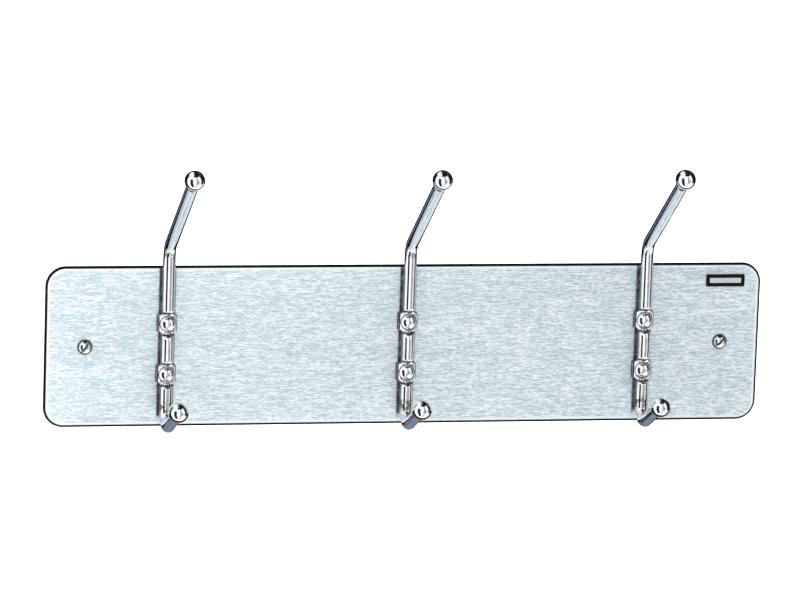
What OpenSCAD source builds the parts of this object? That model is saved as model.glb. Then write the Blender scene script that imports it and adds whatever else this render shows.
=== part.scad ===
// Wall hook rack: a flat metal backplate with three double hooks bent from round rod.
// Each hook is held by two domed rivets through flattened seats in its rod, and each
// arm ends in a ball. Two slotted screws fix the plate to the wall.
// Frame: X along the plate, +Y into the wall, +Z up. The origin is the centre of the
// plate's back face, so the wall is the plane y = 0 and the hooks reach towards -Y.

/* [Backplate] */
// Width of the plate
plate_w = 457.2; // [380:0.1:620]
// Height of the plate
plate_h = 101.6; // [80:0.1:160]
// Thickness of the plate's sheet
plate_t = 1.6; // [1.4:0.1:3]
// Radius of the plate's corners
plate_corner_r = 12.7; // [4:0.1:30]

/* [Hooks] */
// Distance from one hook to the next
hook_pitch = 152.4; // [90:0.1:165]
// Diameter of the hook rod
rod_d = 7.94; // [6.5:0.01:9.6]
// Gap between the plate's front face and the round part of the rod
rod_gap = 0.4; // [0.2:0.1:2]

/* [Upper arms] */
// Height of the upper bend's corner above the plate's top edge
upper_bend_rise = 12.2; // [8:0.1:30]
// Radius of the upper bend, at the rod's centreline
upper_bend_r = 12; // [8:0.5:22]
// Slope of the upper arm above the horizontal
upper_arm_angle = 34; // [20:1:50]
// Distance from the plate's front face to the centre of the upper ball
upper_reach = 87.3; // [60:0.1:130]

/* [Lower arms] */
// Drop of the lower bend's underside below the plate's bottom edge
lower_drop = 1; // [0:0.1:15]
// Radius of the lower bend, at the rod's centreline
lower_bend_r = 9; // [7:0.5:12]
// Slope of the lower arm above the horizontal
lower_arm_angle = 25; // [10:1:45]
// Distance from the plate's front face to the centre of the lower ball
lower_reach = 51.3; // [42:0.1:75]

/* [Balls] */
// Diameter of the balls on the arms' ends
ball_d = 12.7; // [11.5:0.1:18]
// Diameter of the spigot that holds a ball on its arm
spigot_d = 5; // [3:0.1:6]
// Length of the spigot
spigot_len = 5; // [3:0.1:5.6]

/* [Riveted seats] */
// Distance between a hook's two rivets
rivet_spacing = 32; // [24:0.5:50]
// Height of the rivet pair's centre above the plate's middle
rivet_pair_z = -1; // [-4:0.5:4]
// Width of the flattened seat
seat_w = 12; // [10:0.1:16]
// Height of the flattened seat
seat_h = 12.6; // [11:0.1:16]
// Thickness of the flattened seat
seat_t = 4.4; // [3:0.1:5.5]
// Cut across the seat's corners
seat_chamfer = 2.4; // [0.5:0.1:3]

/* [Rivets] */
// Diameter of the rivet's shank
rivet_shank_d = 4.8; // [3:0.1:5.8]
// Diameter of the rivet's domed head
rivet_head_d = 9.2; // [7.5:0.1:11]
// Height of the rivet's domed head
rivet_head_h = 2.6; // [1.5:0.1:3.7]
// Diameter of the rivet's flush tail
rivet_tail_d = 7; // [6.2:0.1:9]

/* [Wall screws] */
// Distance from each end of the plate to its wall screw
screw_inset = 25.4; // [17:0.1:30]
// Diameter of the screw's round head
screw_head_d = 9; // [7:0.1:11]
// Height of the screw's round head
screw_head_h = 2.9; // [2.2:0.1:3.4]
// Width of the screwdriver slot
screw_slot_w = 1.2; // [0.8:0.1:1.6]
// Depth of the screwdriver slot
screw_slot_depth = 1.5; // [0.8:0.1:1.8]
// Slope of the left screw's slot above the horizontal
left_slot_angle = 56; // [0:1:180]
// Slope of the right screw's slot above the horizontal
right_slot_angle = 46; // [0:1:180]
// Diameter of the screw's smooth shank
screw_shank_d = 4.2; // [3.4:0.1:5]
// Length of the smooth shank behind the plate
screw_shank_len = 10; // [5:0.5:20]
// Length of the screw's threaded part, without its point
screw_thread_len = 18; // [10:1:40]
// Distance from one thread to the next
screw_thread_pitch = 1.8; // [1.4:0.1:2.6]
// Diameter at the thread's root
screw_root_d = 3; // [2.2:0.1:3.2]
// Length of the screw's point
screw_point_len = 5; // [3:0.5:8]

/* [Label] */
// Width of the label
label_w = 25; // [15:0.1:40]
// Height of the label
label_h = 7.8; // [5:0.1:15]
// Thickness of the label
label_t = 0.8; // [0.3:0.1:1.5]
// Distance from the plate's right end to the label
label_side_gap = 10.9; // [5:0.1:12]
// Distance from the plate's top edge to the label
label_top_gap = 7.4; // [4:0.1:20]
// Radius of the label's corners
label_corner_r = 0.6; // [0.2:0.1:2]
// Width of the label's raised rim
label_rim_w = 0.7; // [0.4:0.1:1.2]
// Depth of the label's face below its rim
label_recess = 0.25; // [0.1:0.05:0.28]

/* [Clearances] */
// Clearance all round a rivet's shank and tail
rivet_clearance = 0.05; // [0.02:0.01:0.15]
// Gap between a rivet's head and the slopes above and below it
rivet_head_gap = 0.3; // [0.2:0.1:0.8]
// Clearance all round a ball's spigot
spigot_clearance = 0.03; // [0.02:0.01:0.1]
// Clearance all round a screw's shoulder in the plate
screw_clearance = 0.15; // [0.1:0.05:0.5]

/* [Hidden] */
$fn = 64;
// Extra length that carries a cut clear through a surface
cut = 1;

// The three hooks' places along the plate, and the two screws'
left = -1;
middle = 0;
right = 1;
screw_x = plate_w / 2 - screw_inset;

// Rod: the axis of its straight part, and the corner and centre of each bend
rod_r = rod_d / 2;
ball_r = ball_d / 2;
rod_depth = rod_gap + rod_r;
rod_y = -(plate_t + rod_depth);
upper_turn = 90 - upper_arm_angle;
upper_tangent = upper_bend_r * tan(upper_turn / 2);
upper_corner_z = plate_h / 2 + upper_bend_rise;
upper_centre_z = upper_corner_z - upper_tangent;
lower_turn = 90 + lower_arm_angle;
lower_centre_z = -plate_h / 2 - lower_drop + rod_r + lower_bend_r;

// A bent rod draws down by this much at its radius, and each bend laps the straight by this angle
bend_draw = 0.03;
bend_lap = 2;

// Arms: length of the straight stretch from its bend to the centre of its ball
upper_arm_len = (upper_reach - rod_depth) / cos(upper_arm_angle) - upper_tangent;
lower_start_depth = rod_depth + lower_bend_r * (1 + sin(lower_arm_angle));
lower_arm_len = (lower_reach - lower_start_depth) / cos(lower_arm_angle);

// Ball joint: the rod's shoulder meets a flat of its own diameter on the ball
ball_seat = sqrt(ball_r * ball_r - rod_r * rod_r);
spigot_bore_len = spigot_len + 0.3;

// Rivets
rivet_head_y = -(plate_t + seat_t);
rivet_tail_len = plate_t * 0.7;
rivet_shank_r = rivet_shank_d / 2;
upper_rivet_z = rivet_pair_z + rivet_spacing / 2;
lower_rivet_z = rivet_pair_z - rivet_spacing / 2;

// Screws: a short shoulder fills the plate's hole, and ridges stand for the thread
screw_shoulder_d = screw_shank_d + 0.5;
screw_ridges = floor(screw_thread_len / screw_thread_pitch);

// Radius of the sphere whose cap has the given diameter and height
function cap_r(d, h) = (d * d / 4 + h * h) / (2 * h);

// A flat blank with round corners, w by h in X and Z, from y = back towards -Y by t
module blank(w, h, t, corner, back) {
    translate([0, back, 0]) rotate([90, 0, 0]) linear_extrude(t) union() {
        square([w - 2 * corner, h], center = true);
        square([w, h - 2 * corner], center = true);
        for (sx = [-1, 1], sz = [-1, 1])
            translate([sx * (w / 2 - corner), sz * (h / 2 - corner)]) circle(corner);
    }
}

// A cylinder along +Y from y = start
module pin_y(d, start, len) {
    translate([0, start + len, 0]) rotate([90, 0, 0]) cylinder(d = d, h = len);
}

// A cone along +Y from y = start, from diameter d1 to d2
module cone_y(d1, d2, start, len) {
    translate([0, start + len, 0]) rotate([90, 0, 0]) cylinder(d1 = d2, d2 = d1, h = len);
}

// A domed cap whose flat side is at y = base and whose crown faces -Y
module dome(d, h, base) {
    r = cap_r(d, h);
    intersection() {
        translate([0, base - h + r, 0]) sphere(r);
        pin_y(d + cut, base - h - cut, h + cut);
    }
}

// Places its children at a hook
module at_hook(side) {
    translate([side * hook_pitch, 0, 0]) children();
}

// Places its children on a hook's arm, with local +Z along the arm from its bend's end
module on_upper_arm() {
    translate([0, rod_y, upper_corner_z]) rotate([upper_turn, 0, 0])
        translate([0, 0, upper_tangent]) children();
}
module on_lower_arm() {
    translate([0, rod_y - lower_bend_r, lower_centre_z]) rotate([90 - lower_arm_angle, 0, 0])
        translate([0, -lower_bend_r, 0]) children();
}

// A bend of the rod in the YZ plane: it starts at +Y of its centre and turns from there,
// with a short lap into the straight rod at both ends
module bend(centre_z, r, first, turn) {
    translate([0, rod_y - r, centre_z]) rotate([90, 0, 90]) rotate([0, 0, first - bend_lap])
        rotate_extrude(angle = turn + 2 * bend_lap) translate([r, 0]) circle(rod_r - bend_draw);
}

// The straight end of an arm and the spigot that enters its ball
module arm(len) {
    shoulder = len - ball_seat;
    cylinder(r = rod_r, h = shoulder);
    translate([0, 0, shoulder - cut]) cylinder(d = spigot_d, h = spigot_len + cut);
}

// The space that a press leaves in front of a seat: flat under the rivet's head, then a
// slope up to the round rod at both ends
module seat_hollow(z) {
    depth = 2 * rod_d;
    flat = rivet_head_d / 2 + rivet_head_gap;
    translate([-seat_w, rivet_head_y, z]) rotate([90, 0, 90]) linear_extrude(2 * seat_w)
        polygon([[0, -flat], [0, flat], [-depth, flat + depth], [-depth, -flat - depth]]);
}

// The flattened seat itself
module seat(z) {
    w = seat_w / 2;
    h = seat_h / 2;
    c = seat_chamfer;
    translate([0, -plate_t, z]) rotate([90, 0, 0]) linear_extrude(seat_t)
        polygon([
            [w, -h + c], [w, h - c], [w - c, h], [-w + c, h],
            [-w, h - c], [-w, -h + c], [-w + c, -h], [w - c, -h],
        ]);
}

// One double hook's rod: lower arm and bend, straight part with two seats, upper bend and arm
module hook_rod(side) {
    color("gainsboro") at_hook(side) difference() {
        union() {
            difference() {
                translate([0, rod_y, lower_centre_z])
                    cylinder(r = rod_r, h = upper_centre_z - lower_centre_z);
                for (z = [upper_rivet_z, lower_rivet_z]) seat_hollow(z);
            }
            for (z = [upper_rivet_z, lower_rivet_z]) seat(z);
            bend(upper_centre_z, upper_bend_r, 0, upper_turn);
            bend(lower_centre_z, lower_bend_r, -lower_turn, lower_turn);
            on_upper_arm() arm(upper_arm_len);
            on_lower_arm() arm(lower_arm_len);
        }
        for (z = [upper_rivet_z, lower_rivet_z])
            translate([0, 0, z])
                pin_y(rivet_shank_d + 2 * rivet_clearance, rivet_head_y - cut, seat_t + 2 * cut);
    }
}

// A ball with its blind bore and the flat that the rod's shoulder meets
module ball(len) {
    translate([0, 0, len]) difference() {
        sphere(ball_r);
        translate([0, 0, -ball_seat - rod_d]) cylinder(r = rod_d, h = rod_d);
        translate([0, 0, -ball_seat - cut])
            cylinder(d = spigot_d + 2 * spigot_clearance, h = spigot_bore_len + cut);
    }
}
module upper_ball(side) {
    color("whitesmoke") at_hook(side) on_upper_arm() ball(upper_arm_len);
}
module lower_ball(side) {
    color("whitesmoke") at_hook(side) on_lower_arm() ball(lower_arm_len);
}

// A domed rivet: its head on the seat, its tail set flush in the plate's back
module rivet(side, z) {
    color("silver") at_hook(side) translate([0, 0, z]) {
        dome(rivet_head_d, rivet_head_h, rivet_head_y);
        pin_y(rivet_shank_d, rivet_head_y, seat_t + plate_t);
        cone_y(rivet_shank_d, rivet_tail_d, -rivet_tail_len, rivet_tail_len);
    }
}

// The backplate, with countersinks at the back for the rivets and two screw holes
module backplate() {
    color("lightsteelblue") difference() {
        blank(plate_w, plate_h, plate_t, plate_corner_r, 0);
        for (side = [left, middle, right], z = [upper_rivet_z, lower_rivet_z])
            at_hook(side) translate([0, 0, z]) {
                pin_y(rivet_shank_d + 2 * rivet_clearance, -plate_t - cut, plate_t + 2 * cut);
                cone_y(rivet_shank_d + 2 * rivet_clearance, rivet_tail_d + 2 * rivet_clearance,
                       -rivet_tail_len, rivet_tail_len);
            }
        for (side = [left, right])
            translate([side * screw_x, 0, 0])
                pin_y(screw_shoulder_d + 2 * screw_clearance, -plate_t - cut, plate_t + 2 * cut);
    }
}

// A slotted round-head wall screw: the head bears on the plate, the thread goes into the wall
module wall_screw(side, slot_angle) {
    head_y = -plate_t;
    thread_y = screw_shank_len;
    crest_r = screw_shank_d / 2;
    root_r = screw_root_d / 2;
    color("silver") translate([side * screw_x, 0, 0]) {
        difference() {
            dome(screw_head_d, screw_head_h, head_y);
            translate([0, head_y - screw_head_h, 0]) rotate([0, -slot_angle, 0])
                cube([2 * screw_head_d, 2 * screw_slot_depth, screw_slot_w], center = true);
        }
        pin_y(screw_shoulder_d, head_y, plate_t);
        pin_y(screw_shank_d, 0, thread_y);
        translate([0, thread_y, 0]) rotate([-90, 0, 0]) rotate_extrude() polygon(concat(
            [[0, 0]],
            [for (i = [0 : screw_ridges - 1]) each [
                [root_r, i * screw_thread_pitch],
                [crest_r, (i + 0.5) * screw_thread_pitch],
            ]],
            [[root_r, screw_ridges * screw_thread_pitch],
             [0, screw_ridges * screw_thread_pitch + screw_point_len]]));
    }
}

// A blank label with a raised rim
module label() {
    x = plate_w / 2 - label_side_gap - label_w / 2;
    z = plate_h / 2 - label_top_gap - label_h / 2;
    color("dimgray") translate([x, 0, z]) difference() {
        blank(label_w, label_h, label_t, label_corner_r, -plate_t);
        translate([0, -plate_t - label_t, 0])
            cube([label_w - 2 * label_rim_w, 2 * label_recess, label_h - 2 * label_rim_w],
                 center = true);
    }
}

backplate();
hook_rod(left);  // hook_rod_left
hook_rod(middle);  // hook_rod_middle
hook_rod(right);  // hook_rod_right
upper_ball(left);  // upper_ball_left
upper_ball(middle);  // upper_ball_middle
upper_ball(right);  // upper_ball_right
lower_ball(left);  // lower_ball_left
lower_ball(middle);  // lower_ball_middle
lower_ball(right);  // lower_ball_right
rivet(left, upper_rivet_z);  // upper_rivet_left
rivet(middle, upper_rivet_z);  // upper_rivet_middle
rivet(right, upper_rivet_z);  // upper_rivet_right
rivet(left, lower_rivet_z);  // lower_rivet_left
rivet(middle, lower_rivet_z);  // lower_rivet_middle
rivet(right, lower_rivet_z);  // lower_rivet_right
wall_screw(left, left_slot_angle);  // wall_screw_left
wall_screw(right, right_slot_angle);  // wall_screw_right
label();
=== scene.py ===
import math

import bmesh
import bpy
from mathutils import Matrix, Vector


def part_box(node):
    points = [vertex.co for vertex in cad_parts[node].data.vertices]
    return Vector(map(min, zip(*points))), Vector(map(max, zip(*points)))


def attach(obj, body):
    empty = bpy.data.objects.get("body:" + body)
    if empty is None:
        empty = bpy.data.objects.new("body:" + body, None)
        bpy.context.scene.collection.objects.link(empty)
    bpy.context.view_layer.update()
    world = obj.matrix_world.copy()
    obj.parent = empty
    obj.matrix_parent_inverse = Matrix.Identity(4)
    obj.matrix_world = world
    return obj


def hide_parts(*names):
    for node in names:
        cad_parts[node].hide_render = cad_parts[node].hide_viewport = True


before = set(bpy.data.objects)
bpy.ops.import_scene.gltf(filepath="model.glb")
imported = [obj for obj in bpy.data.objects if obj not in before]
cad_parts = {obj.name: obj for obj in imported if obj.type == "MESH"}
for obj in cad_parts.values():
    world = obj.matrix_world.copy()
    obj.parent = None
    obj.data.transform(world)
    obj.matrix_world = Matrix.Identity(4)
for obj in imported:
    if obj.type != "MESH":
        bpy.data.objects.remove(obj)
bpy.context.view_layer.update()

# Wall hook rack. X runs along the plate, +Y into the wall, +Z up, in metres.
# Places come from the CAD boxes. The sizes that a box doesn't give are named here.
MM = 0.001
BODY = "root"
SIDES = ("left", "middle", "right")
SEGMENTS = 72

# A cutter stands this far past each face that it goes through
CUT_PAST = 0.5 * MM

# Plate: the two round-overs together stay under its thickness, or the mesh crosses itself
PLATE_CORNER_R = 12.7 * MM
PLATE_EASE = 1.3 * MM
PLATE_BACK_EASE = 0.25 * MM
CORNER_STEPS = 16

# Painted light and shade on the plate. Each fades out between two distances: the painted dark line
# and the painted bright rim are measured inwards from the outline, and the painted shade from the
# middle of a rod, seat or screw
DARK_EDGE_SHADE = (1.45 * MM, 1.75 * MM)
RIM_HIGHLIGHT = (2.4 * MM, 3.6 * MM)
ROD_PAINTED_SHADE = (4.7 * MM, 5.8 * MM)
ROD_PAINTED_SHADE_FOOT = (-46 * MM, -43 * MM)
SEAT_PAINTED_SHADE_ACROSS = (6.0 * MM, 6.7 * MM)
SEAT_PAINTED_SHADE_UP = (4.6 * MM, 6.2 * MM)
SCREW_PAINTED_SHADE = (4.6 * MM, 5.2 * MM)

# Hook rods
ROD_R = 3.97 * MM
ROD_GAP = 0.4 * MM
UPPER_BEND_R = 12 * MM
UPPER_ARM_ANGLE = math.radians(34)
LOWER_BEND_R = 9 * MM
LOWER_ARM_ANGLE = math.radians(25)
BEND_DRAW = 0.03 * MM
BEND_STEPS = 40
UPPER_BLOOM = (57.5 * MM, 61.5 * MM)
LOWER_BLOOM = (-41 * MM, -34 * MM)
SPIGOT_R = 2.5 * MM
SPIGOT_LEN = 5 * MM
SPIGOT_CLEARANCE = 0.03 * MM
BORE_LEN = 5.3 * MM

# Pressed seats: heights are measured from the rivet's centre
SEAT_T = 4.4 * MM
SEAT_SQUARENESS = 5.0
SEAT_SIDE_START = 4.3 * MM
SEAT_SIDE_END = 6.6 * MM
SEAT_FRONT_START = 4.9 * MM
SEAT_FRONT_END = 8.84 * MM

# Rivets
RIVET_SHANK_R = 2.4 * MM
RIVET_TAIL_R = 3.5 * MM
RIVET_TAIL_SHARE = 0.7
RIVET_CLEARANCE = 0.05 * MM

# Wall screws
SCREW_SHOULDER_R = 2.35 * MM
SCREW_CLEARANCE = 0.15 * MM
SCREW_SHANK_R = 2.1 * MM
SCREW_ROOT_R = 1.5 * MM
SCREW_SHANK_LEN = 10 * MM
SCREW_PITCH = 1.8 * MM
SCREW_POINT_LEN = 5 * MM
SLOT_W = 1.2 * MM
SLOT_DEPTH = 1.5 * MM
SLOT_REACH = 8 * MM
SLOT_FLARE = 1.25
SLOT_ANGLES = {"left": math.radians(56), "right": math.radians(46)}

# Label
LABEL_RIM = 0.7 * MM
LABEL_RECESS = 0.25 * MM
LABEL_CORNER_R = 0.6 * MM
LABEL_PANEL_INSET = 2.3 * MM
LABEL_PANEL_RAISE = 0.1 * MM


def smooth_step(low, high, value):
    """0 below low, 1 above high, and a smooth rise between them."""
    t = min(max((value - low) / (high - low), 0.0), 1.0)
    return t * t * (3 - 2 * t)


def mix(a, b, t):
    return a + (b - a) * t


# ---------------------------------------------------------------- meshes


def piece_from(name, verts, faces):
    mesh = bpy.data.meshes.new(name)
    mesh.from_pydata(verts, [], faces)
    mesh.validate()
    obj = bpy.data.objects.new(name, mesh)
    bpy.context.scene.collection.objects.link(obj)
    return obj


def outward(obj):
    """Turns every face outwards."""
    work = bmesh.new()
    work.from_mesh(obj.data)
    bmesh.ops.recalc_face_normals(work, faces=work.faces)
    if work.calc_volume(signed=True) < 0:
        bmesh.ops.reverse_faces(work, faces=work.faces)
    work.to_mesh(obj.data)
    work.free()


def shade(obj, sharp_degrees=38):
    """Smooth shading, with the edges sharper than this kept crisp."""
    obj.data.shade_smooth()
    obj.data.set_sharp_from_angle(angle=math.radians(sharp_degrees))


def skin(name, rings, poles):
    """A closed skin over rings of equal length, with a point at each end."""
    count = len(rings[0])
    verts = [poles[0]] + [v for ring in rings for v in ring] + [poles[1]]
    last = len(verts) - 1
    start = lambda r: 1 + r * count
    faces = [(0, start(0) + (i + 1) % count, start(0) + i) for i in range(count)]
    for r in range(len(rings) - 1):
        a, b = start(r), start(r + 1)
        faces += [(a + i, a + (i + 1) % count, b + (i + 1) % count, b + i) for i in range(count)]
    end = start(len(rings) - 1)
    faces += [(end + i, end + (i + 1) % count, last) for i in range(count)]
    obj = piece_from(name, verts, faces)
    outward(obj)
    return obj


def ring_at(radius, height, segments=SEGMENTS):
    turn = 2 * math.pi / segments
    return [
        (radius * math.cos(i * turn), radius * math.sin(i * turn), height) for i in range(segments)
    ]


def lathe(name, profile, segments=SEGMENTS):
    """A turned solid about local Z. The profile runs from one end on the axis to the other."""
    rings = [ring_at(radius, height, segments) for radius, height in profile[1:-1]]
    return skin(name, rings, [(0, 0, profile[0][1]), (0, 0, profile[-1][1])])


def arc(centre, radius, start, end, steps):
    """Points on a circle in the profile's plane, between two angles in degrees."""
    angles = [math.radians(mix(start, end, i / steps)) for i in range(steps + 1)]
    return [(centre[0] + radius * math.cos(a), centre[1] + radius * math.sin(a)) for a in angles]


def place(obj, origin, axis):
    """Sets a turned solid down with its local Z along axis, in its own vertices."""
    turn = Vector((0, 0, 1)).rotation_difference(Vector(axis)).to_matrix().to_4x4()
    obj.data.transform(Matrix.Translation(Vector(origin)) @ turn)
    return obj


def cut(obj, *cutters):
    """Subtracts the cutters from obj, and removes them."""
    for cutter in cutters:
        modifier = obj.modifiers.new("cut", "BOOLEAN")
        modifier.operation = "DIFFERENCE"
        modifier.solver = "EXACT"
        modifier.object = cutter
    bpy.context.view_layer.update()
    evaluated = obj.evaluated_get(bpy.context.evaluated_depsgraph_get())
    mesh = bpy.data.meshes.new_from_object(evaluated)
    obj.modifiers.clear()
    obj.data = mesh
    mesh.name = obj.name
    outward(obj)
    for cutter in cutters:
        bpy.data.objects.remove(cutter)
    return obj


def turned_cutter(profile, x, z):
    """A cutter turned about an axis along +Y through (x, z). The profile's heights are in Y."""
    return place(lathe("cutter", profile), (x, 0, z), (0, 1, 0))


def finish_piece(obj, node, slot, *materials):
    """Gives a piece its materials and its place on the frame, in the stead of a CAD node."""
    for material in materials:
        obj.data.materials.append(material)
    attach(obj, BODY)
    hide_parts(node)
    return obj


# ---------------------------------------------------------------- materials


def add(tree, kind, values=None, **settings):
    """A node with its settings, and with each named input set or linked."""
    node = tree.nodes.new(kind)
    for name, value in settings.items():
        setattr(node, name, value)
    for name, value in (values or {}).items():
        if isinstance(value, bpy.types.NodeSocket):
            tree.links.new(value, node.inputs[name])
        else:
            node.inputs[name].default_value = value
    return node


def math_node(tree, operation, a, b=0.0, clamp=False):
    node = add(tree, "ShaderNodeMath", {0: a, 1: b}, operation=operation, use_clamp=clamp)
    return node.outputs[0]


def spread(tree, value, low, high, to_low=0.0, to_high=1.0):
    """value from low to high, eased, as to_low to to_high."""
    node = add(
        tree,
        "ShaderNodeMapRange",
        {"Value": value, "From Min": low, "From Max": high, "To Min": to_low, "To Max": to_high},
        interpolation_type="SMOOTHSTEP",
    )
    return node.outputs["Result"]


def window(tree, value, low, high, soft):
    """1 between low and high, 0 outside, with a soft edge."""
    rise = spread(tree, value, low - soft, low + soft)
    fall = spread(tree, value, high - soft, high + soft)
    return math_node(tree, "SUBTRACT", rise, fall, clamp=True)


def blend_colour(tree, factor, a, b):
    node = add(tree, "ShaderNodeMix", data_type="RGBA")
    for name, value in (("Factor", factor), ("A", a), ("B", b)):
        sockets = [s for s in node.inputs if s.name == name and s.enabled]
        if isinstance(value, bpy.types.NodeSocket):
            tree.links.new(value, sockets[0])
        else:
            sockets[0].default_value = value
    return [s for s in node.outputs if s.enabled][0]


def noise(tree, size, detail=3.0, roughness=0.55):
    """Noise whose features are about size metres long on each axis."""
    coords = add(tree, "ShaderNodeTexCoord").outputs["Object"]
    scaled = add(tree, "ShaderNodeMapping", {"Vector": coords, "Scale": [1 / s for s in size]})
    values = {"Vector": scaled.outputs[0], "Scale": 1.0, "Detail": detail, "Roughness": roughness}
    return add(tree, "ShaderNodeTexNoise", values).outputs["Fac"]


def place_axis(tree, axis):
    """The object's own X, Y or Z, in metres."""
    coords = add(tree, "ShaderNodeTexCoord").outputs["Object"]
    return add(tree, "ShaderNodeSeparateXYZ", {0: coords}).outputs[axis]


def nearest(tree, value, places):
    """The distance from value to the nearest of some places."""
    gaps = [
        math_node(tree, "ABSOLUTE", math_node(tree, "SUBTRACT", value, place)) for place in places
    ]
    closest = gaps[0]
    for gap in gaps[1:]:
        closest = math_node(tree, "MINIMUM", closest, gap)
    return closest


def radial(tree, a, b):
    """The length of the vector (a, b)."""
    squares = [math_node(tree, "MULTIPLY", side, side) for side in (a, b)]
    return math_node(tree, "SQRT", math_node(tree, "ADD", *squares))


def edge_distance(tree, x, z):
    """How far inside the plate's outline a point is, for points nearer than the corner radius."""
    sides = []
    for value, half in ((x, plate_high.x), (z, plate_high.z)):
        past = math_node(
            tree, "SUBTRACT", math_node(tree, "ABSOLUTE", value), half - PLATE_CORNER_R
        )
        sides.append(math_node(tree, "MAXIMUM", past, 0.0))
    return math_node(tree, "SUBTRACT", PLATE_CORNER_R, radial(tree, *sides))


def shader(name):
    """A new material, as its tree and its Principled shader."""
    material = bpy.data.materials.new(name)
    material.use_nodes = True
    tree = material.node_tree
    return material, tree, tree.nodes["Principled BSDF"]


def link(tree, socket, target):
    tree.links.new(socket, target)


def bump(tree, height, distance, strength=1.0, normal=None):
    values = {"Height": height, "Distance": distance, "Strength": strength}
    if normal is not None:
        values["Normal"] = normal
    return add(tree, "ShaderNodeBump", values).outputs["Normal"]


def brushed_steel():
    """Sheet brushed along X, with a painted bright rim and a painted dark line at its edge, and
    painted shade held against what is fixed to it.
    """
    material, tree, surface = shader("plate_brushed_steel")
    x, z = place_axis(tree, "X"), place_axis(tree, "Z")
    short = noise(tree, (2.6 * MM, 4 * MM, 0.5 * MM), detail=2, roughness=0.5)
    long = noise(tree, (9 * MM, 4 * MM, 0.6 * MM), detail=2, roughness=0.5)
    cloud = noise(tree, (75 * MM, 75 * MM, 45 * MM), detail=2)
    scratch = spread(tree, noise(tree, (60 * MM, 9 * MM, 0.5 * MM), detail=1), 0.7, 0.78)
    grain = math_node(tree, "MULTIPLY", short, 0.6)
    streak = math_node(tree, "ADD", grain, math_node(tree, "MULTIPLY", long, 0.4))
    contrast = spread(tree, streak, 0.38, 0.62)
    colour = blend_colour(tree, contrast, (0.49, 0.615, 0.68, 1), (0.93, 0.985, 1.0, 1))
    scratched = math_node(tree, "MULTIPLY", scratch, 0.5)
    colour = blend_colour(tree, scratched, colour, (0.6, 0.68, 0.72, 1))

    # Inside the outline comes a painted dark line, painted shade along the edge, and then a
    # painted bright rim, a painted highlight
    inside = edge_distance(tree, x, z)
    rim = spread(tree, inside, *RIM_HIGHLIGHT, 0.8, 0.0)
    colour = blend_colour(tree, rim, colour, (0.97, 0.99, 1.0, 1))
    painted_edge_line = spread(tree, inside, *DARK_EDGE_SHADE, 0.95, 0.0)
    colour = blend_colour(tree, painted_edge_line, colour, (0.02, 0.022, 0.028, 1))

    # Painted shade lies along the rods, round their seats and round the screws: dark bands
    # standing in for contact shadow, and beside the rods for their dark reflection in the sheet
    rods = [middle_x(f"hook_rod_{side}") for side in SIDES]
    screws = [middle_x(f"wall_screw_{side}") for side in SLOT_ANGLES]
    from_rod = nearest(tree, x, rods)
    from_rivet = nearest(tree, z, rivet_heights("left"))
    along = spread(tree, from_rod, *ROD_PAINTED_SHADE, 1.0, 0.0)
    along = math_node(tree, "MULTIPLY", along, spread(tree, z, *ROD_PAINTED_SHADE_FOOT))
    beside = spread(tree, from_rod, *SEAT_PAINTED_SHADE_ACROSS, 1.0, 0.0)
    level_with = spread(tree, from_rivet, *SEAT_PAINTED_SHADE_UP, 1.0, 0.0)
    beside = math_node(tree, "MULTIPLY", beside, level_with)
    round_screw = radial(tree, nearest(tree, x, screws), z)
    round_screw = spread(tree, round_screw, *SCREW_PAINTED_SHADE, 1.0, 0.0)
    painted_shade = math_node(tree, "MAXIMUM", math_node(tree, "MAXIMUM", along, beside), round_screw)
    patchy = spread(tree, noise(tree, (3 * MM, 3 * MM, 3 * MM), detail=3), 0.3, 0.6, 0.75, 0.95)
    front = spread(tree, place_axis(tree, "Y"), plate_front + 0.2 * MM, -0.6 * MM, 1.0, 0.0)
    painted_shade = math_node(tree, "MULTIPLY", math_node(tree, "MULTIPLY", painted_shade, patchy), front)
    colour = blend_colour(tree, painted_shade, colour, (0.022, 0.024, 0.036, 1))
    link(tree, colour, surface.inputs["Base Color"])

    rough = spread(tree, streak, 0.3, 0.7, 0.3, 0.4)
    rough = math_node(tree, "ADD", rough, spread(tree, cloud, 0.35, 0.65, -0.02, 0.03))
    link(tree, rough, surface.inputs["Roughness"])
    link(tree, bump(tree, streak, 0.03 * MM, 0.35), surface.inputs["Normal"])
    tangent = add(tree, "ShaderNodeTangent", direction_type="UV_MAP", uv_map="grain")
    link(tree, tangent.outputs[0], surface.inputs["Tangent"])
    surface.inputs["Metallic"].default_value = 0.7
    surface.inputs["Specular IOR Level"].default_value = 0.3
    surface.inputs["Anisotropic"].default_value = 0.85
    surface.inputs["Anisotropic Rotation"].default_value = 0.25
    return material


def mill_back():
    """The sheet's back: dull rolled metal with cloudy stains and a few rubbed spots."""
    material, tree, surface = shader("plate_mill_back")
    rolled = noise(tree, (22 * MM, 4 * MM, 1.2 * MM), detail=3)
    stain = noise(tree, (38 * MM, 38 * MM, 30 * MM), detail=5, roughness=0.65)
    rubbed = spread(tree, noise(tree, (6 * MM,) * 3, detail=5, roughness=0.7), 0.6, 0.72)
    colour = blend_colour(tree, rolled, (0.42, 0.435, 0.45, 1), (0.56, 0.575, 0.59, 1))
    stained = math_node(tree, "MULTIPLY", spread(tree, stain, 0.45, 0.7), 0.45)
    colour = blend_colour(tree, stained, colour, (0.33, 0.32, 0.3, 1))
    colour = blend_colour(
        tree, math_node(tree, "MULTIPLY", rubbed, 0.5), colour, (0.7, 0.715, 0.73, 1)
    )
    link(tree, colour, surface.inputs["Base Color"])
    link(tree, spread(tree, stain, 0.3, 0.7, 0.42, 0.62), surface.inputs["Roughness"])
    link(tree, bump(tree, rolled, 0.03 * MM, 0.4), surface.inputs["Normal"])
    surface.inputs["Metallic"].default_value = 0.4
    surface.inputs["Specular IOR Level"].default_value = 0.3
    return material


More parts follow.
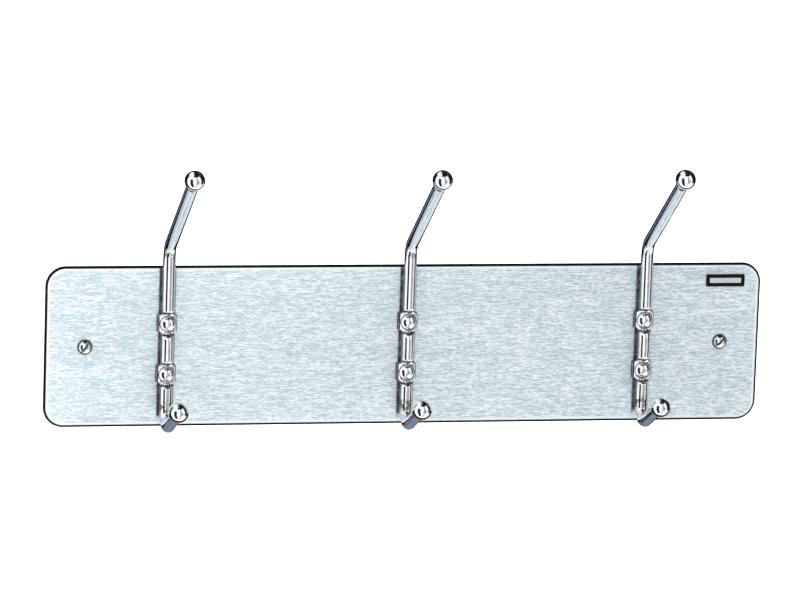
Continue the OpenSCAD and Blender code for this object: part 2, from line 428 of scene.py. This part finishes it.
def painted_dark_edge():
    """The sheet's edge and its round-overs: near-black, as painted shade for a dark outline, with
    fine shear lines across its thickness.
    """
    material, tree, surface = shader("plate_edge_painted_shade")
    lines = noise(tree, (0.35 * MM, 3 * MM, 0.35 * MM), detail=3)
    worn = spread(tree, noise(tree, (14 * MM,) * 3, detail=4), 0.45, 0.75)
    worn = math_node(tree, "MULTIPLY", worn, lines)
    colour = blend_colour(tree, worn, (0.012, 0.013, 0.016, 1), (0.06, 0.064, 0.072, 1))
    link(tree, colour, surface.inputs["Base Color"])
    link(tree, spread(tree, lines, 0.3, 0.7, 0.3, 0.5), surface.inputs["Roughness"])
    link(tree, bump(tree, lines, 0.02 * MM, 0.5), surface.inputs["Normal"])
    surface.inputs["Metallic"].default_value = 1.0
    return material


def chrome(name, tint, rough, ripple, ripple_size, bloom_heights=(), painted_shade=None):
    """Polished plating: faint ripples, fine pits and wiping marks.

    Brown bloom lies between some heights, on the wall's side. The optional mask maker paints shade
    as dark lines.
    """
    material, tree, surface = shader(name)
    wave = noise(tree, (ripple_size,) * 3, detail=2, roughness=0.5)
    pits = spread(tree, noise(tree, (0.5 * MM,) * 3, detail=2), 0.66, 0.74)
    wipe = noise(tree, (9 * MM, 9 * MM, 4 * MM), detail=4, roughness=0.6)
    dull = tuple(0.9 * c for c in tint) + (1,)
    colour = blend_colour(tree, spread(tree, wipe, 0.35, 0.7), tint + (1,), dull)
    for low, high in bloom_heights:
        height = place_axis(tree, "Z")
        zone = window(tree, height, low, high, 2.5 * MM)
        near_wall = spread(tree, place_axis(tree, "Y"), -15 * MM, -10 * MM)
        zone = math_node(tree, "MULTIPLY", zone, near_wall)
        patch = spread(tree, noise(tree, (2.2 * MM,) * 3, detail=3), 0.44, 0.56)
        colour = blend_colour(
            tree, math_node(tree, "MULTIPLY", zone, patch), colour, (0.2, 0.17, 0.1, 1)
        )
    pitted = math_node(tree, "MULTIPLY", pits, 0.6)
    colour = blend_colour(tree, pitted, colour, (0.25, 0.26, 0.28, 1))
    # Painted shade: dark lines from the mask maker
    if painted_shade:
        colour = blend_colour(tree, painted_shade(tree), colour, (0.03, 0.032, 0.04, 1))
    link(tree, colour, surface.inputs["Base Color"])
    level = spread(tree, wipe, 0.35, 0.7, rough, rough + 0.06)
    level = math_node(tree, "ADD", level, math_node(tree, "MULTIPLY", pits, 0.25))
    link(tree, level, surface.inputs["Roughness"])
    rippled = bump(tree, wave, ripple)
    link(tree, bump(tree, pits, -0.01 * MM, 0.6, rippled), surface.inputs["Normal"])
    surface.inputs["Metallic"].default_value = 1.0
    return material


def seat_painted_shade(tree):
    """Painted shade: dark lines round the rivet heads, where the seats run out into the round rod,
    and down the rod's sides over the plate.
    """
    x, z = place_axis(tree, "X"), place_axis(tree, "Z")
    from_rod = nearest(tree, x, [middle_x(f"hook_rod_{side}") for side in SIDES])
    from_rivet = nearest(tree, z, rivet_heights("left"))
    ring = spread(tree, radial(tree, from_rod, from_rivet), 4.9 * MM, 5.4 * MM, 1.0, 0.0)
    ends = window(tree, from_rivet, 6.3 * MM, 7.5 * MM, 0.3 * MM)
    half_w = spread(tree, from_rivet, SEAT_SIDE_START, SEAT_SIDE_END, 6 * MM, ROD_R)
    past = math_node(tree, "SUBTRACT", from_rod, half_w)
    rim = spread(tree, past, -0.9 * MM, -0.3 * MM)
    by_seat = spread(tree, from_rivet, 7 * MM, 8 * MM, 1.0, 0.7)
    on_plate = window(tree, z, -40 * MM, 50 * MM, 2 * MM)
    rim = math_node(tree, "MULTIPLY", rim, math_node(tree, "MULTIPLY", by_seat, on_plate))
    lines = math_node(tree, "MAXIMUM", math_node(tree, "MAXIMUM", ring, ends), rim)
    patchy = spread(tree, noise(tree, (1.6 * MM,) * 3, detail=3), 0.3, 0.55, 0.6, 1.0)
    return math_node(tree, "MULTIPLY", lines, patchy)


def head_painted_shade(tree):
    """Painted shade: a dark line round the foot of each wall screw's head."""
    x, z = place_axis(tree, "X"), place_axis(tree, "Z")
    from_screw = nearest(tree, x, [middle_x(f"wall_screw_{side}") for side in SLOT_ANGLES])
    patchy = spread(tree, noise(tree, (1.2 * MM,) * 3, detail=3), 0.3, 0.6, 0.7, 0.95)
    ring = spread(tree, radial(tree, from_screw, z), 3.5 * MM, 4.0 * MM)
    return math_node(tree, "MULTIPLY", ring, patchy)


def enamel():
    """Semi-gloss black, with a fine orange peel and a little dust."""
    material, tree, surface = shader("label_enamel")
    peel = noise(tree, (0.35 * MM,) * 3, detail=2)
    dust = spread(tree, noise(tree, (0.9 * MM,) * 3, detail=4, roughness=0.7), 0.6, 0.8)
    link(
        tree,
        blend_colour(tree, dust, (0.005, 0.005, 0.006, 1), (0.03, 0.03, 0.033, 1)),
        surface.inputs["Base Color"],
    )
    link(tree, spread(tree, dust, 0, 1, 0.26, 0.5), surface.inputs["Roughness"])
    link(tree, bump(tree, peel, 0.006 * MM, 0.5), surface.inputs["Normal"])
    surface.inputs["Specular IOR Level"].default_value = 0.1
    return material


def label_silver():
    """The label's blank satin panel."""
    material, tree, surface = shader("label_panel")
    grain = noise(tree, (3 * MM, 1 * MM, 0.2 * MM), detail=3)
    link(
        tree,
        blend_colour(tree, grain, (0.7, 0.73, 0.75, 1), (0.92, 0.94, 0.95, 1)),
        surface.inputs["Base Color"],
    )
    link(tree, spread(tree, grain, 0.3, 0.7, 0.3, 0.5), surface.inputs["Roughness"])
    link(tree, bump(tree, grain, 0.004 * MM, 0.4), surface.inputs["Normal"])
    surface.inputs["Metallic"].default_value = 1.0
    return material


# ---------------------------------------------------------------- backplate

plate_low, plate_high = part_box("backplate")
plate_front = plate_low.y


def round_outline(low, high, corner, inset, y):
    """A rectangle in X and Z with round corners, moved in by inset, at depth y."""
    points = []
    corners = ((1, 1, 0), (-1, 1, 90), (-1, -1, 180), (1, -1, 270))
    for sx, sz, start in corners:
        cx = (high.x if sx > 0 else low.x) - sx * corner
        cz = (high.z if sz > 0 else low.z) - sz * corner
        for x, z in arc((cx, cz), corner - inset, start, start + 90, CORNER_STEPS):
            points.append((x, y, z))
    return points


def stacked(name, loops):
    """A solid between a stack of equal loops, closed by a flat face at both ends."""
    count = len(loops[0])
    verts = [v for loop in loops for v in loop]
    faces = [tuple(range(count)), tuple(range(len(verts) - count, len(verts)))]
    for r in range(len(loops) - 1):
        a, b = r * count, (r + 1) * count
        faces += [(a + i, a + (i + 1) % count, b + (i + 1) % count, b + i) for i in range(count)]
    obj = piece_from(name, verts, faces)
    outward(obj)
    return obj


def eased_edge(low, high, corner, ease, back_ease):
    """Loops from the back face to the front one, with a round-over at both edges."""
    loops = []
    for i in range(4):
        angle = math.radians(90 * i / 3)
        inset = back_ease * (1 - math.sin(angle))
        loops.append(
            round_outline(low, high, corner, inset, high.y - back_ease * (1 - math.cos(angle)))
        )
    for i in range(9):
        angle = math.radians(90 * i / 8)
        inset = ease * (1 - math.cos(angle))
        loops.append(
            round_outline(low, high, corner, inset, low.y + ease * (1 - math.sin(angle)))
        )
    return loops


def rivet_heights(side):
    """The two rivets' heights, from their CAD boxes."""
    boxes = [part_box(f"{level}_rivet_{side}") for level in ("upper", "lower")]
    return [(low.z + high.z) / 2 for low, high in boxes]


def middle_x(node):
    low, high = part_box(node)
    return (low.x + high.x) / 2


def map_grain(obj):
    """Lays the grain's UV map over the mesh: U along X, V along Z."""
    layer = obj.data.uv_layers.new(name="grain")
    for loop in obj.data.loops:
        co = obj.data.vertices[loop.vertex_index].co
        layer.data[loop.index].uv = (co.x, co.z)


def make_plate(material, edge, back):
    loops = eased_edge(plate_low, plate_high, PLATE_CORNER_R, PLATE_EASE, PLATE_BACK_EASE)
    plate = stacked("rack_backplate", loops)
    thickness = plate_high.y - plate_low.y
    sink = RIVET_TAIL_SHARE * thickness
    bore, mouth = RIVET_SHANK_R + RIVET_CLEARANCE, RIVET_TAIL_R + RIVET_CLEARANCE
    start, end = plate_front - CUT_PAST, CUT_PAST
    ramp = mouth + (mouth - bore) / sink * end
    rivet_hole = [(0, start), (bore, start), (bore, -sink), (ramp, end), (0, end)]
    hole = SCREW_SHOULDER_R + SCREW_CLEARANCE
    screw_hole = [(0, start), (hole, start), (hole, end), (0, end)]
    cutters = []
    for side in SIDES:
        x = middle_x(f"hook_rod_{side}")
        cutters += [turned_cutter(rivet_hole, x, z) for z in rivet_heights(side)]
    for side in SLOT_ANGLES:
        cutters.append(turned_cutter(screw_hole, middle_x(f"wall_screw_{side}"), 0))
    cut(plate, *cutters)
    shade(plate, 30)
    map_grain(plate)
    finish_piece(plate, "backplate", "plate", material, edge, back)

    # The edge's material goes on the outline's round-overs and sides, and the back's on the back
    inner_x, inner_z = plate_high.x - PLATE_CORNER_R, plate_high.z - PLATE_CORNER_R
    for face in plate.data.polygons:
        outer = abs(face.center.x) > inner_x or abs(face.center.z) > inner_z
        if outer and abs(face.normal.y) < 0.999:
            face.material_index = 1
        else:
            face.material_index = 2 if face.normal.y > 0.3 else 0
    return plate


# ---------------------------------------------------------------- hook rods

rod_y = plate_front - ROD_GAP - ROD_R


def ball_centre(node):
    """The centre and radius of a ball, whose box is cut short only on the rod's side."""
    low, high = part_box(node)
    radius = (high.x - low.x) / 2
    return Vector(((low.x + high.x) / 2, low.y + radius, (low.z + high.z) / 2)), radius


def round_section(radius):
    """A section of the rod as (across, outward) pairs."""
    turn = 2 * math.pi / SEGMENTS
    return [(radius * math.cos(i * turn), radius * math.sin(i * turn)) for i in range(SEGMENTS)]


def pressed_section(z, rivets, seat_half_w):
    """The straight rod's section at a height: round, or pressed flat near a rivet."""
    away = min(abs(z - r) for r in rivets)
    side_press = 1 - smooth_step(SEAT_SIDE_START, SEAT_SIDE_END, away)
    front_press = 1 - smooth_step(SEAT_FRONT_START, SEAT_FRONT_END, away)
    half_w = mix(ROD_R, seat_half_w, side_press)
    back = mix(ROD_R, ROD_R + ROD_GAP, side_press)
    front = mix(ROD_R, SEAT_T - ROD_GAP - ROD_R, front_press)
    power = mix(2.0, SEAT_SQUARENESS, side_press * front_press)
    middle, half_t = (front - back) / 2, (front + back) / 2
    section = []
    for i in range(SEGMENTS):
        t = 2 * math.pi * i / SEGMENTS
        across, out = half_w * math.cos(t), half_t * math.sin(t)
        size = (abs(math.cos(t)) ** power + abs(math.sin(t)) ** power) ** (-1 / power)
        section.append((across * size, middle + out * size))
    return section


def drawn(share):
    """The rod's radius along a bend, a hair thinner between its two ends."""
    return ROD_R - BEND_DRAW * math.sin(math.pi * share) ** 0.5


def station(x, centre, tangent, section):
    """One ring of the rod. The section's outward side is to the left of the tangent."""
    ty, tz = tangent
    return [
        (x + across, centre[0] - tz * out, centre[1] + ty * out) for across, out in section
    ]


def on_bend(middle, radius, angle):
    """The place on a bend's centre line at an angle."""
    return middle[0] + radius * math.cos(angle), middle[1] + radius * math.sin(angle)


def bend_rings(x, middle, radius, start, turn, steps):
    """Rings round a bend that turns from an angle, for some of its steps."""
    rings = []
    for i in steps:
        angle = start + turn * i / BEND_STEPS
        tangent = (-math.sin(angle), math.cos(angle))
        section = round_section(drawn(i / BEND_STEPS))
        rings.append(station(x, on_bend(middle, radius, angle), tangent, section))
    return rings


def straight_heights(low, high, rivets):
    """Heights up the straight rod, close together where a seat changes its shape."""
    fine, coarse = 0.3 * MM, 2.4 * MM
    heights, z = [], low
    while z < high - 0.1 * MM:
        heights.append(z)
        away = min(abs(z - r) for r in rivets)
        near = SEAT_SIDE_START - 1 * MM < away < SEAT_FRONT_END + 1 * MM
        z += fine if near or away < 0.4 * MM else min(coarse, 0.6 * MM + 0.2 * away)
    return heights + [high]


def arm_rings(x, start, direction, length, shoulder_first):
    """An arm's rings from its bend to its spigot, or the other way round."""
    dy, dz = direction
    sign = -1 if shoulder_first else 1
    stops = [length * i / 24 for i in range(1, 24)]
    rings = [(s, ROD_R) for s in stops if s < length - 0.5 * MM]
    rings += [(length - 0.2 * MM, ROD_R), (length - 0.05 * MM, ROD_R - 0.06 * MM)]
    rings += [(length, ROD_R - 0.2 * MM), (length, SPIGOT_R + 0.2 * MM)]
    rings += [(length + 0.15 * MM, SPIGOT_R), (length + SPIGOT_LEN - 0.4 * MM, SPIGOT_R)]
    rings += [(length + SPIGOT_LEN, SPIGOT_R - 0.4 * MM)]
    made = []
    for s, radius in rings:
        centre = (start[0] + dy * s, start[1] + dz * s)
        made.append(station(x, centre, (sign * dy, sign * dz), round_section(radius)))
    end = length + SPIGOT_LEN
    pole = (x, start[0] + dy * end, start[1] + dz * end)
    return (list(reversed(made)), pole) if shoulder_first else (made, pole)


def rod_shape(side):
    """The rod's places in the YZ plane, worked out from its box and its two balls."""
    low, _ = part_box(f"hook_rod_{side}")
    upper, ball_r = ball_centre(f"upper_ball_{side}")
    lower, _ = ball_centre(f"lower_ball_{side}")
    seat = math.sqrt(ball_r ** 2 - ROD_R ** 2)
    turn = math.pi / 2 - UPPER_ARM_ANGLE
    corner_z = upper.z - (rod_y - upper.y) * math.tan(UPPER_ARM_ANGLE)
    upper_mid = (rod_y - UPPER_BEND_R, corner_z - UPPER_BEND_R * math.tan(turn / 2))
    lower_mid = (rod_y - LOWER_BEND_R, low.z + LOWER_BEND_R + ROD_R - BEND_DRAW)
    return upper, lower, seat, upper_mid, lower_mid


def make_rod(side, material):
    upper, lower, seat, upper_mid, lower_mid = rod_shape(side)
    x = middle_x(f"hook_rod_{side}")
    rivets = rivet_heights(side)
    rod_low, rod_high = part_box(f"hook_rod_{side}")
    seat_half_w = (rod_high.x - rod_low.x) / 2

    # The lower bend turns from the lower arm's slope to straight up
    lower_turn = math.pi / 2 + LOWER_ARM_ANGLE
    lower_out = (-math.cos(LOWER_ARM_ANGLE), math.sin(LOWER_ARM_ANGLE))
    lower_start = on_bend(lower_mid, LOWER_BEND_R, -lower_turn)
    lower_len = (lower_start[0] - lower.y) / math.cos(LOWER_ARM_ANGLE) - seat
    rings, lower_pole = arm_rings(x, lower_start, lower_out, lower_len, True)
    rings += bend_rings(x, lower_mid, LOWER_BEND_R, -lower_turn, lower_turn, range(BEND_STEPS))

    for z in straight_heights(lower_mid[1], upper_mid[1], rivets):
        rings.append(station(x, (rod_y, z), (0, 1), pressed_section(z, rivets, seat_half_w)))

    # The upper bend turns from straight up to the upper arm's slope
    upper_turn = math.pi / 2 - UPPER_ARM_ANGLE
    rings += bend_rings(x, upper_mid, UPPER_BEND_R, 0, upper_turn, range(1, BEND_STEPS + 1))
    upper_out = (-math.cos(UPPER_ARM_ANGLE), math.sin(UPPER_ARM_ANGLE))
    upper_start = on_bend(upper_mid, UPPER_BEND_R, upper_turn)
    upper_len = (upper_start[0] - upper.y) / math.cos(UPPER_ARM_ANGLE) - seat
    arm, upper_pole = arm_rings(x, upper_start, upper_out, upper_len, False)
    rod = skin(f"rod_{side}", rings + arm, [lower_pole, upper_pole])

    bore = RIVET_SHANK_R + RIVET_CLEARANCE
    start, end = plate_front - SEAT_T - 1 * MM, plate_front + 1 * MM
    profile = [(0, start), (bore, start), (bore, end), (0, end)]
    cut(rod, *[turned_cutter(profile, x, z) for z in rivets])
    shade(rod)
    return finish_piece(rod, f"hook_rod_{side}", "rod", material)


# ---------------------------------------------------------------- balls, rivets, screws, label


def make_ball(level, side, material):
    """A turned ball with a blind bore, and a flat with a small lip where the rod's end seats."""
    centre, radius = ball_centre(f"{level}_ball_{side}")
    angle = {"upper": UPPER_ARM_ANGLE, "lower": LOWER_ARM_ANGLE}[level]
    seat = math.sqrt(radius ** 2 - ROD_R ** 2)
    bore = SPIGOT_R + SPIGOT_CLEARANCE
    lip = math.degrees(math.asin(seat / radius))
    profile = [(0, BORE_LEN - seat), (bore, BORE_LEN - seat)]
    profile += [(bore, -seat + 0.15 * MM), (bore + 0.15 * MM, -seat)]
    profile += arc((0, 0), radius, -lip, 90, 40)[:-1] + [(0, radius)]
    ball = lathe(f"ball_{level}_{side}", profile, 96)
    place(ball, centre, (0, -math.cos(angle), math.sin(angle)))
    shade(ball)
    return finish_piece(ball, f"{level}_ball_{side}", "ball", material)


def dome_profile(radius, height, rim, base):
    """A dome from its rim at base up to its crown, away from the wall, with a rounded rim."""
    cap = height - rim
    sphere_r = (radius ** 2 + cap ** 2) / (2 * cap)
    reach = math.degrees(math.asin(radius / sphere_r))
    points = []
    for i in range(25):
        a = math.radians(reach * i / 24)
        points.append((sphere_r * math.sin(a), base - height + sphere_r * (1 - math.cos(a))))
    points += [(radius, base - 0.4 * rim), (radius - 0.25 * rim, base)]
    return points


def make_rivet(level, side, material):
    node = f"{level}_rivet_{side}"
    low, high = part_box(node)
    head_r = (high.x - low.x) / 2
    base = plate_front - SEAT_T
    profile = dome_profile(head_r, base - low.y, 0.35 * MM, base)
    sink = RIVET_TAIL_SHARE * (plate_high.y - plate_low.y)
    profile += [(RIVET_SHANK_R, base), (RIVET_SHANK_R, -sink)]
    profile += [(RIVET_TAIL_R - 0.05 * MM, -0.05 * MM), (RIVET_TAIL_R - 0.15 * MM, 0), (0, 0)]
    rivet = lathe(f"rivet_{level}_{side}", profile)
    place(rivet, ((low.x + high.x) / 2, 0, (low.z + high.z) / 2), (0, 1, 0))
    shade(rivet)
    return finish_piece(rivet, node, "rivet", material)


def thread_radius(turn, along, length):
    """The screw's radius at an angle and a distance from the thread's start."""
    phase = (along / SCREW_PITCH - turn / (2 * math.pi)) % 1.0
    ridge = max(0.0, 1 - abs(phase - 0.5) / 0.36) ** 0.8
    run_in = smooth_step(0, SCREW_PITCH, along)
    taper = min(1.0, (length - along) / SCREW_POINT_LEN)
    core = mix(SCREW_SHANK_R, SCREW_ROOT_R, run_in) * taper
    return core + (SCREW_SHANK_R - SCREW_ROOT_R) * ridge * run_in * min(1.0, 1.5 * taper) * 0.98


def thread_rings(start, end):
    """Rings from the shank's end to the point, with the helix in their radius."""
    step = SCREW_PITCH / 14
    count = int((end - start) / step)
    rings = []
    for i in range(1, count):
        along = (end - start) * i / count
        ring = []
        for k in range(SEGMENTS):
            turn = 2 * math.pi * k / SEGMENTS
            radius = thread_radius(turn, along, end - start)
            ring.append((radius * math.cos(turn), radius * math.sin(turn), start + along))
        rings.append(ring)
    return rings


def slot_cutter(x, crown, angle):
    """A bar through a screw's crown, with its sides opening slightly outwards."""
    half, flared, deep = SLOT_W / 2, SLOT_W / 2 * SLOT_FLARE, SLOT_DEPTH
    section = ((-half, deep), (half, deep), (flared, -deep), (-flared, -deep))
    ends = (-SLOT_REACH, SLOT_REACH)
    verts = [(end, depth, across) for end in ends for across, depth in section]
    faces = [(0, 1, 2, 3), (4, 5, 6, 7)]
    faces += [(i, (i + 1) % 4, 4 + (i + 1) % 4, 4 + i) for i in range(4)]
    bar = piece_from("cutter", verts, faces)
    outward(bar)
    bar.data.transform(Matrix.Translation((x, crown, 0)) @ Matrix.Rotation(-angle, 4, "Y"))
    return bar


def make_screw(side, material, painted_shade):
    node = f"wall_screw_{side}"
    low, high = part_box(node)
    x = (low.x + high.x) / 2
    profile = dome_profile((high.x - low.x) / 2, plate_front - low.y, 0.4 * MM, plate_front)
    profile += [(SCREW_SHOULDER_R, plate_front), (SCREW_SHOULDER_R, -0.1 * MM)]
    profile += [(SCREW_SHANK_R + 0.1 * MM, 0), (SCREW_SHANK_R, 0.1 * MM)]
    profile += [(SCREW_SHANK_R, SCREW_SHANK_LEN)]
    rings = [ring_at(radius, height) for radius, height in profile[1:]]
    rings += thread_rings(SCREW_SHANK_LEN, high.y)
    screw = skin(f"screw_{side}", rings, [(0, 0, low.y), (0, 0, high.y)])
    place(screw, (x, 0, 0), (0, 1, 0))
    cut(screw, slot_cutter(x, low.y, SLOT_ANGLES[side]))
    shade(screw)
    finish_piece(screw, node, "screw", material, painted_shade)

    # The slot's walls and floor get a dark, rough metal: painted shade in the slot
    axis = Vector((math.cos(SLOT_ANGLES[side]), 0, math.sin(SLOT_ANGLES[side])))
    for face in screw.data.polygons:
        off = face.center - Vector((x, 0, 0))
        off.y = 0
        across = (off - off.dot(axis) * axis).length
        in_head = face.center.y < low.y + SLOT_DEPTH + 0.01 * MM
        if in_head and across < SLOT_W * 0.66 and abs(face.normal.dot(axis)) < 0.2:
            steep = face.normal.y > -0.35
            floor = face.center.y > low.y + SLOT_DEPTH - 0.05 * MM
            face.material_index = 1 if steep or floor else 0
    return screw


def make_label(border, panel):
    """A blank label: a raised rim round a recessed face, which carries a plain panel."""
    low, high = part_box("label")
    floor = low.y + LABEL_RECESS
    steps = [
        (0, high.y),
        (0, low.y + 0.1 * MM),
        (0.03 * MM, low.y + 0.03 * MM),
        (0.12 * MM, low.y),
        (LABEL_RIM - 0.1 * MM, low.y),
        (LABEL_RIM, low.y + 0.08 * MM),
        (LABEL_RIM + 0.05 * MM, floor),
        (LABEL_PANEL_INSET, floor),
        (LABEL_PANEL_INSET + 0.03 * MM, floor - LABEL_PANEL_RAISE),
    ]
    loops = []
    for inset, y in steps:
        moved_low = low + Vector((inset, 0, inset))
        moved_high = high - Vector((inset, 0, inset))
        radius = max(LABEL_CORNER_R - inset, 0.25 * MM)
        loops.append(round_outline(moved_low, moved_high, radius, 0, y))
    label = stacked("corner_label", loops)
    shade(label, 30)
    finish_piece(label, "label", "label", border, panel)

    # The raised panel's one large face carries the panel's material
    inner_x = high.x - low.x - 2 * LABEL_PANEL_INSET
    for face in label.data.polygons:
        near = abs(face.center.x - (low.x + high.x) / 2) < inner_x / 2 + 0.02 * MM
        if near and face.normal.y < -0.9 and face.center.y < floor - 0.5 * LABEL_PANEL_RAISE:
            face.material_index = 1 if len(face.vertices) > 8 else 0
    return label


make_plate(brushed_steel(), painted_dark_edge(), mill_back())
# The rods' chrome carries painted shade: dark lines at the seats and down the rods' sides
rod_chrome = chrome(
    "rod_chrome",
    (0.87, 0.885, 0.91),
    0.045,
    0.016 * MM,
    4.5 * MM,
    (UPPER_BLOOM, LOWER_BLOOM),
    seat_painted_shade,
)
ball_chrome = chrome("ball_chrome", (0.9, 0.91, 0.92), 0.03, 0.002 * MM, 3 * MM)
rivet_chrome = chrome("rivet_chrome", (0.87, 0.88, 0.89), 0.06, 0.004 * MM, 2.5 * MM)
# The screws' chrome carries a painted shade line round each head's foot
screw_chrome = chrome(
    "screw_chrome", (0.84, 0.85, 0.86), 0.1, 0.004 * MM, 2 * MM, painted_shade=head_painted_shade
)
# A dark, rough metal: painted shade for the screw slots
slot_painted_shade = chrome("slot_painted_shade", (0.16, 0.155, 0.15), 0.35, 0.004 * MM, 1 * MM)
for side in SIDES:
    make_rod(side, rod_chrome)
    for level in ("upper", "lower"):
        make_ball(level, side, ball_chrome)
        make_rivet(level, side, rivet_chrome)
for side in SLOT_ANGLES:
    make_screw(side, screw_chrome, slot_painted_shade)
make_label(enamel(), label_silver())


# ---------------------------------------------------------------- stage, light and camera

FLOOR_Z = -0.6
FLOOR_HALF = 14.0


def make_floor():
    corners = ((-1, -1), (1, -1), (1, 1), (-1, 1))
    verts = [(FLOOR_HALF * x, FLOOR_HALF * y, FLOOR_Z) for x, y in corners]
    floor = piece_from("studio_floor", verts, [(0, 1, 2, 3)])
    material, tree, surface = shader("pale_floor")
    mottle = noise(tree, (0.4, 0.4, 0.4), detail=2)
    link(
        tree,
        blend_colour(tree, mottle, (0.9, 0.9, 0.9, 1), (0.93, 0.93, 0.93, 1)),
        surface.inputs["Base Color"],
    )
    surface.inputs["Roughness"].default_value = 0.9
    surface.inputs["Specular IOR Level"].default_value = 0.2
    floor.data.materials.append(material)
    floor.visible_glossy = False


def make_world():
    """A white room for the camera. Polished metal sees soft boxes and dark flags instead."""
    world = bpy.data.worlds.new("studio")
    bpy.context.scene.world = world
    world.use_nodes = True
    tree = world.node_tree
    tree.nodes.clear()
    way = add(tree, "ShaderNodeTexCoord").outputs["Generated"]
    parts = add(tree, "ShaderNodeSeparateXYZ", {0: way})
    to_degrees = 180 / math.pi
    rise = math_node(tree, "MULTIPLY", math_node(tree, "ARCSINE", parts.outputs["Z"]), to_degrees)
    front = math_node(tree, "MULTIPLY", parts.outputs["Y"], -1.0)
    turn = math_node(tree, "ARCTAN2", parts.outputs["X"], front)
    turn = math_node(tree, "MULTIPLY", turn, to_degrees)

    def card(turn_low, turn_high, rise_low, rise_high, soft, shade_level, below):
        """Lays a soft-edged panel of one brightness over what is below it."""
        across = window(tree, turn, turn_low, turn_high, soft)
        up = window(tree, rise, rise_low, rise_high, soft)
        mask = math_node(tree, "MULTIPLY", across, up)
        return blend_colour(tree, mask, below, shade_level)

    def grey(level, cool=0.0):
        return (level * (1 - cool), level * (1 - 0.6 * cool), level * (1 + 0.5 * cool), 1)

    room = grey(1.3, 0.03)
    cards = (
        # turn from, to, rise from, to, softness, level, coolness
        (-6, 12, -42, 40, 3, 1.1, 0.02),  # the left-hand box's dimmer side
        (11, 26, -90, 90, 3, 0.3, 0.05),  # a gap between the two front soft boxes
        (26, 240, -90, 90, 3, 1.02, 0.02),  # the right-hand soft box
        (-100, 100, -95, -44, 6, 1.7, 0.0),  # a lit sheet on the floor in front
        (1, 19, -95, -46, 2, 0.02, 0.0),  # a gap across that sheet
        (-240, -98, -90, 48, 5, 0.012, 0.0),  # dark room behind, on the left
        (66, 240, -24, 48, 6, 0.012, 0.0),  # dark room on the right and behind
        (100, 240, -95, -14, 5, 0.012, 0.0),
        (-240, -160, -48, -20, 2, 0.3, 0.28),  # blue-grey floor straight behind
        (160, 240, -48, -20, 2, 0.3, 0.28),
        (-240, -160, -35, -32, 1.5, 0.14, 0.25),  # a seam across it
        (160, 240, -35, -32, 1.5, 0.14, 0.25),
        (-160, -140, -21, -13, 2.5, 0.3, 0.3),  # a paler strip behind, on the left
        (-240, 240, 46, 100, 5, 0.012, 0.0),  # dark ceiling
        (-170, -28, 42, 78, 5, 1.0, 0.02),  # overhead soft box on the left
        (-60, -20, -66, -28, 4, 0.04, 0.2),  # the flag's shadow on the floor
        (-60, -27, -34, 24, 4, 0.012, 0.0),  # dark flag at the front left
        (29, 41, -24, 6, 2.5, 0.12, 0.0),  # narrow stand at the front right
    )
    for turn_low, turn_high, rise_low, rise_high, soft, level, cool in cards:
        room = card(turn_low, turn_high, rise_low, rise_high, soft, grey(level, cool), room)
    path = add(tree, "ShaderNodeLightPath")
    glossy = add(tree, "ShaderNodeBackground", {"Color": room, "Strength": 1.05})
    plain = add(tree, "ShaderNodeBackground", {"Color": (1, 1, 1, 1), "Strength": 1.0})
    pick = add(tree, "ShaderNodeMixShader")
    tree.links.new(path.outputs["Is Glossy Ray"], pick.inputs[0])
    tree.links.new(plain.outputs[0], pick.inputs[1])
    tree.links.new(glossy.outputs[0], pick.inputs[2])
    out = add(tree, "ShaderNodeOutputWorld")
    tree.links.new(pick.outputs[0], out.inputs[0])


def make_light(name, location, target, size, watts):
    data = bpy.data.lights.new(name, "AREA")
    data.shape = "SQUARE"
    data.size = size
    data.energy = watts
    light = bpy.data.objects.new(name, data)
    bpy.context.scene.collection.objects.link(light)
    light.location = location
    aim = Vector(target) - Vector(location)
    light.rotation_euler = aim.to_track_quat("-Z", "Y").to_euler()
    light.visible_glossy = False
    return light


def make_camera():
    """The photograph's viewpoint: from the front left, a little above, with a slight roll."""
    turn, rise, roll = math.radians(-12.3), math.radians(10.8), math.radians(1.93)
    target = Vector((-0.0046, 0.0, 0.0279))
    distance = 3.302
    out = Vector(
        (math.sin(turn) * math.cos(rise), -math.cos(turn) * math.cos(rise), math.sin(rise))
    )
    right = Vector((math.cos(turn), math.sin(turn), 0))
    up = out.cross(right)
    leaned_right = math.cos(roll) * right + math.sin(roll) * up
    leaned_up = math.cos(roll) * up - math.sin(roll) * right
    data = bpy.data.cameras.new("camera")
    data.lens = 237.6
    data.sensor_width = 36
    camera = bpy.data.objects.new("camera", data)
    bpy.context.scene.collection.objects.link(camera)
    axes = Matrix((leaned_right, leaned_up, out)).transposed().to_4x4()
    camera.matrix_world = Matrix.Translation(target + distance * out) @ axes
    bpy.context.scene.camera = camera


make_floor()
make_world()
make_light("soft_front", (0.4, -1.6, 2.4), (0, 0, 0), 2.2, 60)
make_light("soft_floor", (0.0, 3.5, 3.2), (0, 3.5, 0), 6.0, 420)
make_camera()
bpy.context.scene.view_settings.view_transform = "Standard"
